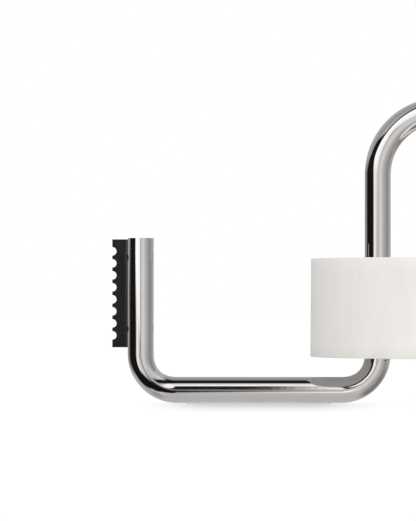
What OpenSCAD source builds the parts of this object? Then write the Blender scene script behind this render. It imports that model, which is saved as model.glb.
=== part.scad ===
/* [Tube] */
// Outside diameter of the bent tube
tube_d = 12.7; // [10:0.1:16]
// Wall thickness of the tube
tube_wall = 1.65; // [1.2:0.05:2.2]
// Centreline radius of the bends at the table
bend_r = 17.8; // [14:0.1:24]
// Chamfer around the two cut ends of the tube
end_chamfer = 0.4; // [0.1:0.1:0.8]

/* [Frame] */
// Distance from the roll's axis to the centreline of the blade post
post_reach = 147.4; // [120:0.1:180]
// Height of the blade post's cut end above the table
post_h = 81; // [66:0.1:100]
// Height of the centre of the arch above the table
arch_h = 112; // [90:0.1:140]

/* [Foot] */
// Straight run between the right fillet and the foot's first bend
foot_run = 2; // [1:0.5:20]
// Straight run on the near side of the foot's loop
loop_side = 19.2; // [5:0.1:40]
// How far the cross bar reaches behind the roll's axis
foot_reach = 60; // [40:0.5:90]

/* [Tape roll] */
// Inside diameter of the roll's core
core_id = 76; // [60:0.1:100]
// Wall thickness of the core
core_wall = 4; // [2:0.1:6]
// Outside diameter of the wound tape
roll_od = 128.8; // [112:0.1:150]
// Width of the tape
tape_w = 48; // [36:0.5:60]
// Length of the folded free end that stands off the roll
tab_len = 11; // [6:0.5:20]
// Thickness of the folded free end
tab_t = 0.4; // [0.2:0.1:0.8]
// Direction in which the free end leaves the roll, from the +X axis
tab_angle = 58; // [0:1:90]

/* [Blade] */
// Thickness of the blade
blade_t = 1; // [0.6:0.1:1.6]
// How far the teeth stand out of the tube
blade_proud = 7.55; // [5:0.05:12]
// Gap from the blade's top to the cut end of the post
blade_top_gap = 0.6; // [0:0.1:4]
// Gap from the blade's bottom to where the bend begins
blade_foot_gap = 3.05; // [1:0.05:8]
// Spacing of the round notches
notch_pitch = 5.87; // [5:0.01:8]
// Radius of the round notches
notch_r = 2.08; // [1.5:0.01:2.4]
// Shortest plain edge left beyond the end notches
notch_land = 3; // [1:0.1:6]
// Width of the two tabs at the blade's root
root_tab_w = 3; // [2:0.1:3.4]

/* [Carrier] */
// Thickness of the rail that grips the blade
rail_t = 2.8; // [2:0.1:3.4]
// How far the rail stands out of the tube
rail_proud = 1.3; // [0.8:0.1:3]
// Diameter of the rail's two bosses
boss_d = 4.6; // [4:0.1:5.4]
// How far the bosses reach past the tube's centreline
boss_over = 1.5; // [0.5:0.1:2.5]
// Distance of each boss from the nearer end of the blade
boss_inset = 9; // [7:0.5:14]
// Diameter of the cross pins that hold the blade
pin_d = 1.2; // [1:0.1:1.6]
// Distance of the cross pins from the post's centreline
pin_back = 3.9; // [3.6:0.1:4.2]

/* [Screws] */
// Diameter of the screw shank
screw_d = 3; // [2.5:0.5:3]
// Diameter of the countersunk head
head_d = 5.6; // [5:0.1:6]
// Height of the countersunk head
head_h = 1.55; // [1.2:0.05:1.8]
// Depth below the tube's crown at which the head's cone ends
head_sink = 0.35; // [0.2:0.05:0.6]
// How far the shank screws into the boss
screw_grip = 3.6; // [2:0.1:3.8]
// Width across the corners of the hexagonal socket
socket_d = 2.3; // [1.8:0.1:2.5]
// Depth of the hexagonal socket
socket_depth = 1.1; // [0.6:0.1:1.3]

/* [Plugs and grips] */
// Length of the plug inside each cut end
plug_len = 6; // [4:0.5:8]
// Chamfer around the plug's face
plug_chamfer = 0.3; // [0.1:0.1:0.6]
// Thickness of the clear grips where the tube bears on them
grip_t = 0.4; // [0.3:0.05:1]
// Width of the clear grips
grip_w = 5; // [4:0.1:6]
// Length of the grip under the rod
rod_grip_len = 70; // [40:1:78]
// Length of the grip under the cross bar
foot_grip_len = 80; // [40:1:90]
// Length of the grip under the near side of the loop
loop_grip_len = 14; // [4:1:18]

/* [Clearances] */
// Gap between each leg and the inside of the core
leg_gap = 0.15; // [0.1:0.05:1]
// Gap between the core's lower rim and the fillets that carry it
seat_gap = 0.3; // [0.1:0.05:0.5]
// Radial gap between the core and the winding
wind_gap = 0.05; // [0.02:0.01:0.1]
// Gap around pieces that are fitted or pressed together
fit_gap = 0.03; // [0.02:0.01:0.05]

/* [Hidden] */

$fn = 96;
over = 1;

// The tube's radii, and the height of its centreline where it lies on its grips
tube_r = tube_d / 2;
tube_ri = tube_r - tube_wall;
rod_z = grip_t + fit_gap + tube_r;
bend_z = rod_z + bend_r;

// The two legs are as far apart as the core allows, and the arch joins them
core_r = core_id / 2;
leg_x = core_r - leg_gap - tube_r;
fillet_x = leg_x + bend_r;
fillet_r = bend_r - tube_r;
post_x = -post_reach;

// The core's lower rim comes to rest where the fillets have spread to its width
roll_z = bend_z - sqrt(pow(fillet_r, 2) - pow(fillet_r - leg_gap, 2)) + seat_gap;
wind_ri = core_r + core_wall + wind_gap;
roll_r = roll_od / 2;

// The foot's loop, seen from above
loop_x = fillet_x + foot_run;
side_x = loop_x + bend_r;
turn_x = side_x + bend_r;
bar_x = turn_x + bend_r;
turn_y = -(bend_r + loop_side);

// The blade fills the post's straight length
blade_top = post_h - blade_top_gap;
blade_foot = bend_z + blade_foot_gap;
blade_len = blade_top - blade_foot;
blade_tip_x = post_x - tube_r - blade_proud;
rail_x = post_x - tube_r - rail_proud;
boss_z = [blade_foot + boss_inset, blade_top - boss_inset];
notch_n = floor((blade_len - 2 * notch_r - 2 * notch_land) / notch_pitch) + 1;
notch_z0 = blade_foot + (blade_len - (notch_n - 1) * notch_pitch) / 2;

// Depths on the post, counted from its centreline
rail_seat = sqrt(pow(tube_r, 2) - pow(rail_t / 2, 2)) + fit_gap;
neck_h = 2 * sqrt(pow(boss_d / 2, 2) - pow(rail_t / 2, 2)) - 4 * fit_gap;
boss_root = sqrt(pow(tube_r, 2) - pow(boss_d / 2, 2)) - 0.1;
root_depth = rail_seat + 0.3;
root_tab_end = pin_back - 1;
head_x = tube_r - head_sink;
shank_end = boss_over - screw_grip;

// A length of hollow tube along +Z
module tube_run(len) {
  difference() {
    cylinder(h = len, r = tube_r);
    translate([0, 0, -over]) cylinder(h = len + 2 * over, r = tube_ri);
  }
}

// The same, with the far end cut and chamfered
module tube_cut_run(len) {
  rotate_extrude()
    polygon([
      [tube_ri, 0], [tube_r, 0], [tube_r, len - end_chamfer],
      [tube_r - end_chamfer, len], [tube_ri, len]
    ]);
}

// A bend of centreline radius r that leaves the origin along +Z and turns towards +X
module tube_bend(r, angle) {
  translate([r, 0, 0]) rotate([90, 0, 0]) rotate([0, 0, 180 - angle])
    rotate_extrude(angle = angle)
      translate([r, 0]) difference() {
        circle(r = tube_r);
        circle(r = tube_ri);
      }
}

// The post, the rod, the arch and the foot's loop, in the order in which the tube runs
module tube_path() {
  translate([post_x, 0, bend_z]) tube_cut_run(post_h - bend_z);
  translate([post_x, 0, bend_z]) rotate([180, 0, 0]) tube_bend(bend_r, 90);
  translate([post_x + bend_r, 0, rod_z]) rotate([0, 90, 0])
    tube_run(post_reach - bend_r - fillet_x);
  for (side = [-1, 1])
    translate([side * leg_x, 0, bend_z]) {
      tube_run(arch_h - bend_z);
      rotate([180, 0, side < 0 ? 180 : 0]) tube_bend(bend_r, 90);
    }
  translate([-leg_x, 0, arch_h]) tube_bend(leg_x, 180);
  translate([fillet_x, 0, rod_z]) rotate([0, 90, 0]) tube_run(foot_run);
  translate([loop_x, 0, rod_z]) rotate([-90, 0, -90]) tube_bend(bend_r, 90);
  translate([side_x, turn_y, rod_z]) rotate([-90, 0, 0]) tube_run(loop_side);
  translate([side_x, turn_y, rod_z]) rotate([90, 0, 0]) tube_bend(bend_r, 180);
  translate([bar_x, turn_y, rod_z]) rotate([-90, 0, 0]) tube_cut_run(foot_reach - turn_y);
}

// Turns +Z to run out of the post on the side of the loop, so depths count from its centreline
module across_post(z) {
  translate([post_x, 0, z]) rotate([0, 90, 0]) children();
}

module screw_head_shape(gap) {
  translate([0, 0, head_x - head_h])
    cylinder(h = head_h, r1 = screw_d / 2 + gap, r2 = head_d / 2 + gap);
}

module frame_tube() {
  color("gainsboro") difference() {
    tube_path();
    for (z = boss_z) across_post(z) {
      translate([0, 0, -tube_r - over]) cylinder(h = tube_r + over, r = boss_d / 2 + 2 * fit_gap);
      cylinder(h = tube_r + over, r = screw_d / 2 + 2 * fit_gap);
      screw_head_shape(2 * fit_gap);
      translate([0, 0, head_x]) cylinder(h = over, r = head_d / 2 + 2 * fit_gap);
    }
  }
}

// A turned plug whose face is at the origin and whose length runs along -Z
module end_plug() {
  r = tube_ri - fit_gap;
  color("silver") rotate_extrude()
    polygon([[0, -plug_len], [r, -plug_len], [r, -plug_chamfer], [r - plug_chamfer, 0], [0, 0]]);
}

module post_plug() {
  translate([post_x, 0, post_h]) end_plug();
}

module foot_plug() {
  translate([bar_x, foot_reach, rod_z]) rotate([-90, 0, 0]) end_plug();
}

// A rail that saddles the post, with a slot for the blade and two bosses that enter the tube
module blade_rail() {
  slot = blade_t + 2 * fit_gap;
  color([0.09, 0.09, 0.09]) difference() {
    union() {
      difference() {
        translate([rail_x, -rail_t / 2, blade_foot]) cube([rail_proud + tube_r, rail_t, blade_len]);
        translate([post_x, 0, blade_foot - over])
          cylinder(h = blade_len + 2 * over, r = tube_r + fit_gap);
      }
      for (z = boss_z) {
        across_post(z) translate([0, 0, -boss_root]) cylinder(h = boss_root + boss_over, r = boss_d / 2);
        translate([rail_x + rail_proud / 2, -rail_t / 2, z - neck_h / 2])
          cube([rail_proud, rail_t, neck_h]);
      }
    }
    translate([rail_x - over, -slot / 2, blade_foot - over])
      cube([rail_proud + tube_r - root_depth + over + fit_gap, slot, blade_len + 2 * over]);
    for (z = boss_z) {
      translate([rail_x, -slot / 2, z - root_tab_w / 2 - fit_gap])
        cube([rail_proud + tube_r - root_tab_end + fit_gap, slot, root_tab_w + 2 * fit_gap]);
      across_post(z) translate([0, 0, shank_end - 0.3]) cylinder(h = tube_r, r = screw_d / 2 + fit_gap);
      translate([post_x - pin_back, 0, z]) rotate([90, 0, 0])
        cylinder(h = boss_d + over, r = pin_d / 2 + fit_gap, center = true);
    }
  }
}

// A flat plate with a row of round notches, held by two tabs at its root
module blade() {
  color([0.07, 0.07, 0.07]) difference() {
    union() {
      translate([blade_tip_x, -blade_t / 2, blade_foot])
        cube([post_x - root_depth - blade_tip_x, blade_t, blade_len]);
      for (z = boss_z)
        translate([post_x - root_depth - over, -blade_t / 2, z - root_tab_w / 2])
          cube([root_depth - root_tab_end + over, blade_t, root_tab_w]);
    }
    for (i = [0 : notch_n - 1])
      translate([blade_tip_x, 0, notch_z0 + i * notch_pitch]) rotate([90, 0, 0])
        cylinder(h = blade_t + over, r = notch_r, center = true);
    for (z = boss_z)
      translate([post_x - pin_back, 0, z]) rotate([90, 0, 0])
        cylinder(h = blade_t + over, r = pin_d / 2 + fit_gap, center = true);
  }
}

module blade_pins() {
  pin_len = 2 * sqrt(pow(boss_d / 2, 2) - pow(pin_d / 2, 2)) - 2 * fit_gap;
  color("dimgray") for (z = boss_z)
    translate([post_x - pin_back, 0, z]) rotate([90, 0, 0])
      cylinder(h = pin_len, r = pin_d / 2, center = true);
}

module rail_screws() {
  color([0.2, 0.2, 0.2]) for (z = boss_z) difference() {
    intersection() {
      across_post(z) union() {
        translate([0, 0, shank_end]) cylinder(h = head_x - head_h - shank_end, r = screw_d / 2);
        screw_head_shape(0);
        translate([0, 0, head_x]) cylinder(h = head_sink + over, r = head_d / 2);
      }
      translate([post_x, 0, z - head_d]) cylinder(h = 2 * head_d, r = tube_r);
    }
    across_post(z) translate([0, 0, head_x - socket_depth])
      cylinder(h = socket_depth + head_sink + over, d = socket_d, $fn = 6);
  }
}

// A strip along +X, flat underneath and hollowed on top to the tube's own curve
module grip_strip(len) {
  edge_h = rod_z - sqrt(pow(tube_r + fit_gap, 2) - pow(grip_w / 2, 2));
  color([0.85, 0.9, 0.92, 0.5]) difference() {
    translate([-len / 2, -grip_w / 2, 0]) cube([len, grip_w, edge_h]);
    translate([-len / 2 - over, 0, rod_z]) rotate([0, 90, 0])
      cylinder(h = len + 2 * over, r = tube_r + fit_gap);
  }
}

module rod_grip() {
  translate([(post_x + bend_r - fillet_x) / 2, 0, 0]) grip_strip(rod_grip_len);
}

module foot_grip() {
  translate([bar_x, (turn_y + foot_reach) / 2, 0]) rotate([0, 0, 90]) grip_strip(foot_grip_len);
}

module loop_grip() {
  translate([side_x, turn_y + loop_side / 2, 0]) rotate([0, 0, 90]) grip_strip(loop_grip_len);
}

module ring(r_in, r_out, h) {
  rotate_extrude() translate([r_in, 0]) square([r_out - r_in, h]);
}

module tape_core() {
  color("tan") translate([0, 0, roll_z]) ring(core_r, core_r + core_wall, tape_w);
}

module tape_winding() {
  color([0.9, 0.89, 0.87]) translate([0, 0, roll_z]) ring(wind_ri, roll_r, tape_w);
}

// The free end, folded back on itself, leaves the roll along a tangent
module tape_end() {
  color([0.93, 0.92, 0.9]) rotate([0, 0, tab_angle])
    translate([roll_r + fit_gap, 0, roll_z]) cube([tab_t, tab_len, tape_w]);
}

frame_tube();
post_plug();
foot_plug();
blade_rail();
blade();
blade_pins();
rail_screws();
rod_grip();
foot_grip();
loop_grip();
tape_core();
tape_winding();
tape_end();
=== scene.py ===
import math
import random

import bmesh
import bpy
from mathutils import Matrix, Vector


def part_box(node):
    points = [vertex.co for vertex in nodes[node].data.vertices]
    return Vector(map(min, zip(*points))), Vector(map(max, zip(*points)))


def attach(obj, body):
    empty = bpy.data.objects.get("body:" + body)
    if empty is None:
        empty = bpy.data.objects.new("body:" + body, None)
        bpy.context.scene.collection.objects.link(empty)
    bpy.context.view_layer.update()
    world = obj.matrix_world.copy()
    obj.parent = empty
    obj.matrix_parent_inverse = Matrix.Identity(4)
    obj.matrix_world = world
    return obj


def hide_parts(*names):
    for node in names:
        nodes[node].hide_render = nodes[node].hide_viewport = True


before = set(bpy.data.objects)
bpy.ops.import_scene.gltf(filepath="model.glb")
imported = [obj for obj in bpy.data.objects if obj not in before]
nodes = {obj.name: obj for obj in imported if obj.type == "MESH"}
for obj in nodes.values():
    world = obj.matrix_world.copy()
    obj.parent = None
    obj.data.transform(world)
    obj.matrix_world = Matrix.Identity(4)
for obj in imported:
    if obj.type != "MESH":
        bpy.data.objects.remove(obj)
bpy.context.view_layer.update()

mm = 0.001
print("stage: frame loaded")


# small tools shared by the pieces

def linkObject(name, mesh):
    obj = bpy.data.objects.new(name, mesh)
    bpy.context.scene.collection.objects.link(obj)
    return obj


def meshFromBmesh(name, bm):
    bmesh.ops.recalc_face_normals(bm, faces=bm.faces)
    mesh = bpy.data.meshes.new(name)
    bm.to_mesh(mesh)
    bm.free()
    return mesh


def smoothByAngle(mesh, degrees):
    for face in mesh.polygons:
        face.use_smooth = True
    mesh.set_sharp_from_angle(angle=math.radians(degrees))


def bakeModifiers(obj):
    # turns the evaluated object into a plain mesh and clears its modifiers
    bpy.context.view_layer.update()
    graph = bpy.context.evaluated_depsgraph_get()
    mesh = bpy.data.meshes.new_from_object(obj.evaluated_get(graph), depsgraph=graph)
    obj.modifiers.clear()
    old = obj.data
    obj.data = mesh
    mesh.name = obj.name
    bpy.data.meshes.remove(old)
    return obj


def addBevel(obj, width, segments, degrees):
    bevel = obj.modifiers.new("edge", "BEVEL")
    bevel.width = width
    bevel.segments = segments
    bevel.limit_method = "ANGLE"
    bevel.angle_limit = math.radians(degrees)
    bevel.use_clamp_overlap = True
    return bevel


def finishPiece(obj, body, nodeNames, material):
    obj.data.materials.clear()
    obj.data.materials.append(material)
    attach(obj, body)
    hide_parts(*nodeNames)


def newTree(name, sockets):
    # an empty Geometry Nodes tree with named inputs
    tree = bpy.data.node_groups.new(name, "GeometryNodeTree")
    tree.is_modifier = True
    face = tree.interface
    face.new_socket(name="Geometry", in_out="INPUT", socket_type="NodeSocketGeometry")
    for label, kind in sockets:
        face.new_socket(name=label, in_out="INPUT", socket_type=kind)
    face.new_socket(name="Geometry", in_out="OUTPUT", socket_type="NodeSocketGeometry")
    return tree, tree.nodes.new("NodeGroupInput"), tree.nodes.new("NodeGroupOutput")


def endTree(tree, source, groupIn, groupOut):
    real = tree.nodes.new("GeometryNodeRealizeInstances")
    paint = tree.nodes.new("GeometryNodeSetMaterial")
    tree.links.new(source, real.inputs["Geometry"])
    tree.links.new(real.outputs["Geometry"], paint.inputs["Geometry"])
    tree.links.new(groupIn.outputs["Material"], paint.inputs["Material"])
    tree.links.new(paint.outputs["Geometry"], groupOut.inputs["Geometry"])


def useTree(obj, tree, values):
    modifier = obj.modifiers.new(tree.name, "NODES")
    modifier.node_group = tree
    for item in tree.interface.items_tree:
        if item.item_type == "SOCKET" and item.in_out == "INPUT" and item.name in values:
            modifier[item.identifier] = values[item.name]
    return bakeModifiers(obj)


def lathe(name, profile, segments, place):
    # spins a closed outline of (radius, height) points about Z
    bm = bmesh.new()
    rings = []
    for radius, height in profile:
        if radius < 1e-7:
            rings.append([bm.verts.new((0, 0, height))])
            continue
        ring = []
        for i in range(segments):
            a = 2 * math.pi * i / segments
            ring.append(bm.verts.new((radius * math.cos(a), radius * math.sin(a), height)))
        rings.append(ring)
    pairs = list(zip(rings, rings[1:]))
    if len(rings[0]) > 1:
        pairs.append((rings[-1], rings[0]))
    for lower, upper in pairs:
        if len(lower) == 1 and len(upper) == 1:
            continue
        for i in range(segments):
            j = (i + 1) % segments
            if len(lower) == 1:
                bm.faces.new((lower[0], upper[j], upper[i]))
            elif len(upper) == 1:
                bm.faces.new((lower[i], lower[j], upper[0]))
            else:
                bm.faces.new((lower[i], lower[j], upper[j], upper[i]))
    bmesh.ops.transform(bm, matrix=place, verts=bm.verts)
    return meshFromBmesh(name, bm)


# materials

def startMaterial(name, metallic, roughness):
    material = bpy.data.materials.new(name)
    material.use_nodes = True
    tree = material.node_tree
    shader = tree.nodes["Principled BSDF"]
    shader.inputs["Metallic"].default_value = metallic
    shader.inputs["Roughness"].default_value = roughness
    return material, tree, shader


def objectPoint(tree, scale, place=(0, 0, 0)):
    coord = tree.nodes.new("ShaderNodeTexCoord")
    mapping = tree.nodes.new("ShaderNodeMapping")
    mapping.inputs["Scale"].default_value = scale
    mapping.inputs["Location"].default_value = place
    tree.links.new(coord.outputs["Object"], mapping.inputs["Vector"])
    return mapping.outputs["Vector"]


def noise(tree, point, scale, detail=4.0, rough=0.55):
    texture = tree.nodes.new("ShaderNodeTexNoise")
    texture.inputs["Scale"].default_value = scale
    texture.inputs["Detail"].default_value = detail
    texture.inputs["Roughness"].default_value = rough
    tree.links.new(point, texture.inputs["Vector"])
    return texture.outputs["Fac"]


def ramp(tree, factor, stops):
    # stops are (place, grey) or (place, (r, g, b))
    node = tree.nodes.new("ShaderNodeValToRGB")
    band = node.color_ramp
    band.interpolation = "LINEAR"
    while len(band.elements) > 1:
        band.elements.remove(band.elements[-1])
    for i, (place, colour) in enumerate(stops):
        mark = band.elements[0] if i == 0 else band.elements.new(place)
        mark.position = place
        rgb = colour if isinstance(colour, tuple) else (colour,) * 3
        mark.color = (*rgb, 1.0)
    tree.links.new(factor, node.inputs["Fac"])
    return node.outputs["Color"]


def bump(tree, shader, heights):
    # chains (height, strength, distance) bumps into the shader's normal
    last = None
    for height, strength, distance in heights:
        node = tree.nodes.new("ShaderNodeBump")
        node.inputs["Strength"].default_value = strength
        node.inputs["Distance"].default_value = distance
        tree.links.new(height, node.inputs["Height"])
        if last is not None:
            tree.links.new(last, node.inputs["Normal"])
        last = node.outputs["Normal"]
    tree.links.new(last, shader.inputs["Normal"])


def mathNode(tree, operation, *values):
    node = tree.nodes.new("ShaderNodeMath")
    node.operation = operation
    for i, value in enumerate(values):
        if isinstance(value, (int, float)):
            node.inputs[i].default_value = value
        else:
            tree.links.new(value, node.inputs[i])
    return node.outputs["Value"]


def plus(tree, a, b):
    return mathNode(tree, "ADD", a, b)


def minus(tree, a, b):
    return mathNode(tree, "SUBTRACT", a, b)


def times(tree, a, b):
    return mathNode(tree, "MULTIPLY", a, b)


def clamped(tree, value, low, high):
    return mathNode(tree, "MINIMUM", mathNode(tree, "MAXIMUM", value, low), high)


def rootOfSquares(tree, a, b):
    return mathNode(tree, "SQRT", plus(tree, times(tree, a, a), times(tree, b, b)))


def objectParts(tree):
    coord = tree.nodes.new("ShaderNodeTexCoord")
    split = tree.nodes.new("ShaderNodeSeparateXYZ")
    tree.links.new(coord.outputs["Object"], split.inputs["Vector"])
    return split


def makeChrome():
    material, tree, shader = startMaterial("polishedChrome", 1.0, 0.05)
    point = objectPoint(tree, (1, 1, 1))
    cloud = noise(tree, point, 60, 3)
    tree.links.new(ramp(tree, cloud, [(0.3, (0.79, 0.79, 0.80)), (0.7, (0.83, 0.83, 0.835))]),
                   shader.inputs["Base Color"])
    smear = noise(tree, point, 180, 6, 0.7)
    tree.links.new(ramp(tree, smear, [(0.3, 0.028), (0.75, 0.06)]), shader.inputs["Roughness"])
    orange = noise(tree, point, 450, 2)
    hairline = noise(tree, objectPoint(tree, (1, 1, 1), (3, 1, 2)), 5200, 2)
    bump(tree, shader, [(orange, 0.12, 0.00002), (hairline, 0.05, 0.000004)])
    return material


def makeTurnedSteel():
    material, tree, shader = startMaterial("turnedSteel", 1.0, 0.25)
    point = objectPoint(tree, (1, 1, 1))
    cloud = noise(tree, point, 300, 4)
    tree.links.new(ramp(tree, cloud, [(0.3, (0.46, 0.46, 0.47)), (0.7, (0.58, 0.58, 0.585))]),
                   shader.inputs["Base Color"])
    tree.links.new(ramp(tree, cloud, [(0.2, 0.2), (0.8, 0.34)]), shader.inputs["Roughness"])
    bump(tree, shader, [(noise(tree, point, 3000, 3), 0.2, 0.00002)])
    return material


def makeBladeBlack():
    material, tree, shader = startMaterial("bladeBlack", 0.0, 0.45)
    point = objectPoint(tree, (1, 1, 1))
    speck = noise(tree, point, 1900, 3, 0.75)
    tree.links.new(
        ramp(tree, speck, [
            (0.36, (0.003, 0.003, 0.003)), (0.56, (0.008, 0.0075, 0.007)), (0.72, (0.028, 0.025, 0.022))]),
        shader.inputs["Base Color"])
    tree.links.new(ramp(tree, speck, [(0.3, 0.62), (0.75, 0.4)]), shader.inputs["Roughness"])
    shader.inputs["Specular IOR Level"].default_value = 0.28
    bump(tree, shader, [(speck, 0.5, 0.00006), (noise(tree, point, 260, 2), 0.15, 0.0001)])
    return material


def makeRailBlack():
    material, tree, shader = startMaterial("railBlack", 0.0, 0.4)
    point = objectPoint(tree, (1, 1, 1))
    grain = noise(tree, point, 900, 4, 0.7)
    tree.links.new(
        ramp(tree, grain, [(0.35, (0.007, 0.007, 0.007)), (0.7, (0.018, 0.017, 0.016))]),
        shader.inputs["Base Color"])
    tree.links.new(ramp(tree, grain, [(0.3, 0.2), (0.75, 0.34)]), shader.inputs["Roughness"])
    bump(tree, shader, [(grain, 0.2, 0.00003)])
    return material


def makeScrewSteel():
    material, tree, shader = startMaterial("screwSteel", 1.0, 0.2)
    point = objectPoint(tree, (1, 1, 1))
    grain = noise(tree, point, 1500, 3, 0.65)
    lines = noise(tree, objectPoint(tree, (1, 1, 0.04)), 9000, 2, 0.5)
    tree.links.new(
        ramp(tree, grain, [(0.3, (0.56, 0.56, 0.565)), (0.75, (0.66, 0.66, 0.665))]),
        shader.inputs["Base Color"])
    tree.links.new(ramp(tree, grain, [(0.3, 0.16), (0.75, 0.28)]), shader.inputs["Roughness"])
    bump(tree, shader, [(grain, 0.15, 0.00002), (lines, 0.2, 0.00001)])
    return material


def makeClearGrip():
    material, tree, shader = startMaterial("clearGrip", 0.0, 0.4)
    point = objectPoint(tree, (1, 1, 1))
    haze = noise(tree, point, 240, 4)
    tree.links.new(ramp(tree, haze, [(0.3, (0.68, 0.68, 0.66)), (0.7, (0.76, 0.76, 0.74))]),
                   shader.inputs["Base Color"])
    tree.links.new(ramp(tree, haze, [(0.3, 0.35), (0.7, 0.5)]), shader.inputs["Roughness"])
    shader.inputs["Transmission Weight"].default_value = 0.1
    shader.inputs["IOR"].default_value = 1.3
    bump(tree, shader, [(noise(tree, point, 2500, 2), 0.2, 0.00003)])
    return material


def angleVector(tree, stretch):
    # a unit vector round the roll's axis with a little height, so that streaks run across the tape
    split = objectParts(tree)
    flat = tree.nodes.new("ShaderNodeCombineXYZ")
    tree.links.new(split.outputs["X"], flat.inputs["X"])
    tree.links.new(split.outputs["Y"], flat.inputs["Y"])
    unit = tree.nodes.new("ShaderNodeVectorMath")
    unit.operation = "NORMALIZE"
    tree.links.new(flat.outputs["Vector"], unit.inputs[0])
    parts = tree.nodes.new("ShaderNodeSeparateXYZ")
    tree.links.new(unit.outputs["Vector"], parts.inputs["Vector"])
    height = times(tree, split.outputs["Z"], stretch)
    joined = tree.nodes.new("ShaderNodeCombineXYZ")
    tree.links.new(parts.outputs["X"], joined.inputs["X"])
    tree.links.new(parts.outputs["Y"], joined.inputs["Y"])
    tree.links.new(height, joined.inputs["Z"])
    return joined.outputs["Vector"], split


def radiusFromAxis(tree, split):
    squares = plus(tree, mathNode(tree, "POWER", split.outputs["X"], 2.0),
                       mathNode(tree, "POWER", split.outputs["Y"], 2.0))
    return mathNode(tree, "SQRT", squares)


def radiusVector(tree, split):
    # a point that depends on the distance from the axis alone, for wound layers
    joined = tree.nodes.new("ShaderNodeCombineXYZ")
    tree.links.new(radiusFromAxis(tree, split), joined.inputs["X"])
    return joined.outputs["Vector"]


def makeTapeWhite():
    material, tree, shader = startMaterial("tapeWhite", 0.0, 0.42)
    around, split = angleVector(tree, 3.0)
    point = objectPoint(tree, (1, 1, 1))
    streak = noise(tree, around, 9, 5, 0.6)
    pulp = noise(tree, point, 700, 5, 0.65)
    blend = plus(tree, times(tree, streak, 0.65), times(tree, pulp, 0.35))
    tree.links.new(
        ramp(tree, blend, [
            (0.35, (0.80, 0.775, 0.735)), (0.5, (0.825, 0.802, 0.765)), (0.65, (0.85, 0.83, 0.795))]),
        shader.inputs["Base Color"])
    tree.links.new(ramp(tree, blend, [(0.3, 0.36), (0.7, 0.5)]), shader.inputs["Roughness"])
    shader.inputs["Subsurface Weight"].default_value = 0.12
    shader.inputs["Subsurface Radius"].default_value = (0.0012, 0.0011, 0.001)
    shader.inputs["Subsurface Scale"].default_value = 1.0
    layers = noise(tree, radiusVector(tree, split), 5200, 2, 0.6)
    bump(tree, shader, [(streak, 0.12, 0.0002), (pulp, 0.18, 0.00003), (layers, 0.35, 0.00005)])
    return material


def makeCoreCard():
    material, tree, shader = startMaterial("coreCard", 0.0, 0.85)
    point = objectPoint(tree, (1, 1, 1))
    split = objectParts(tree)
    fibre = noise(tree, objectPoint(tree, (1, 1, 0.35)), 850, 6, 0.7)
    blotch = noise(tree, point, 90, 3)
    blend = plus(tree, times(tree, fibre, 0.6), times(tree, blotch, 0.4))
    tree.links.new(
        ramp(tree, blend, [
            (0.35, (0.36, 0.27, 0.18)), (0.5, (0.47, 0.36, 0.25)), (0.66, (0.58, 0.46, 0.33))]),
        shader.inputs["Base Color"])
    tree.links.new(ramp(tree, fibre, [(0.3, 0.78), (0.7, 0.95)]), shader.inputs["Roughness"])
    shader.inputs["Specular IOR Level"].default_value = 0.25
    plies = noise(tree, radiusVector(tree, split), 2600, 2, 0.5)
    bump(tree, shader, [(fibre, 0.4, 0.00008), (plies, 0.5, 0.0001)])
    return material


chrome = makeChrome()
turnedSteel = makeTurnedSteel()
bladeBlack = makeBladeBlack()
railBlack = makeRailBlack()
screwSteel = makeScrewSteel()
clearGrip = makeClearGrip()
tapeWhite = makeTapeWhite()
coreCard = makeCoreCard()
print("stage: materials made")


# the bent tube

tube = {
    "radius": 6.35 * mm,
    "wall": 1.65 * mm,
    "bendRadius": 17.8 * mm,
    "legX": 31.5 * mm,
    "footRun": 2.0 * mm,
    "ringPoints": 96,
    "arcStep": 2.5,
    "edgeRound": 0.4 * mm,
    "cutterSides": 64,
    "flattened": 0.09,
}
screw = {
    "headRadius": 2.8 * mm,
    "headHeight": 1.55 * mm,
    "headSink": 0.35 * mm,
    "shankRadius": 1.5 * mm,
    "gap": 0.06 * mm,
    "socketRadius": 1.15 * mm,
    "socketDepth": 1.1 * mm,
    "sides": 48,
}
rail = {
    "bossRadius": 2.3 * mm,
    "bossInset": 9.0 * mm,
    "halfThick": 1.4 * mm,
    "proud": 1.3 * mm,
    "edgeRound": 0.25 * mm,
    "fitGap": 0.03 * mm,
    "saddleSteps": 6,
    "bossTop": 1.5 * mm,
    "bossFoot": -5.9 * mm,
    "bossChamfer": 0.2 * mm,
}

tubeLow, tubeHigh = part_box("frame_tube")
plugLow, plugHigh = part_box("post_plug")
bladeLow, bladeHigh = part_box("blade")
postX = tubeLow.x + tube["radius"]
postTop = plugHigh.z
rodZ = tubeLow.z + tube["radius"]
bendZ = rodZ + tube["bendRadius"]
archZ = tubeHigh.z - tube["radius"] - tube["legX"]
filletX = tube["legX"] + tube["bendRadius"]
loopX = filletX + tube["footRun"]
barX = tubeHigh.x - tube["radius"]
turnX = barX - tube["bendRadius"]
sideX = turnX - tube["bendRadius"]
turnY = tubeLow.y + tube["radius"] + tube["bendRadius"]
bossHeights = [bladeLow.z + rail["bossInset"], bladeHigh.z - rail["bossInset"]]


def arcPoints(centre, start, ahead, radius, degrees):
    # points after the first one on an arc that starts at centre + start * radius and heads ahead
    steps = round(degrees / tube["arcStep"])
    points = []
    for i in range(1, steps + 1):
        a = math.radians(degrees) * i / steps
        points.append(Vector(centre) + radius * (math.cos(a) * Vector(start) + math.sin(a) * Vector(ahead)))
    return points


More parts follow.
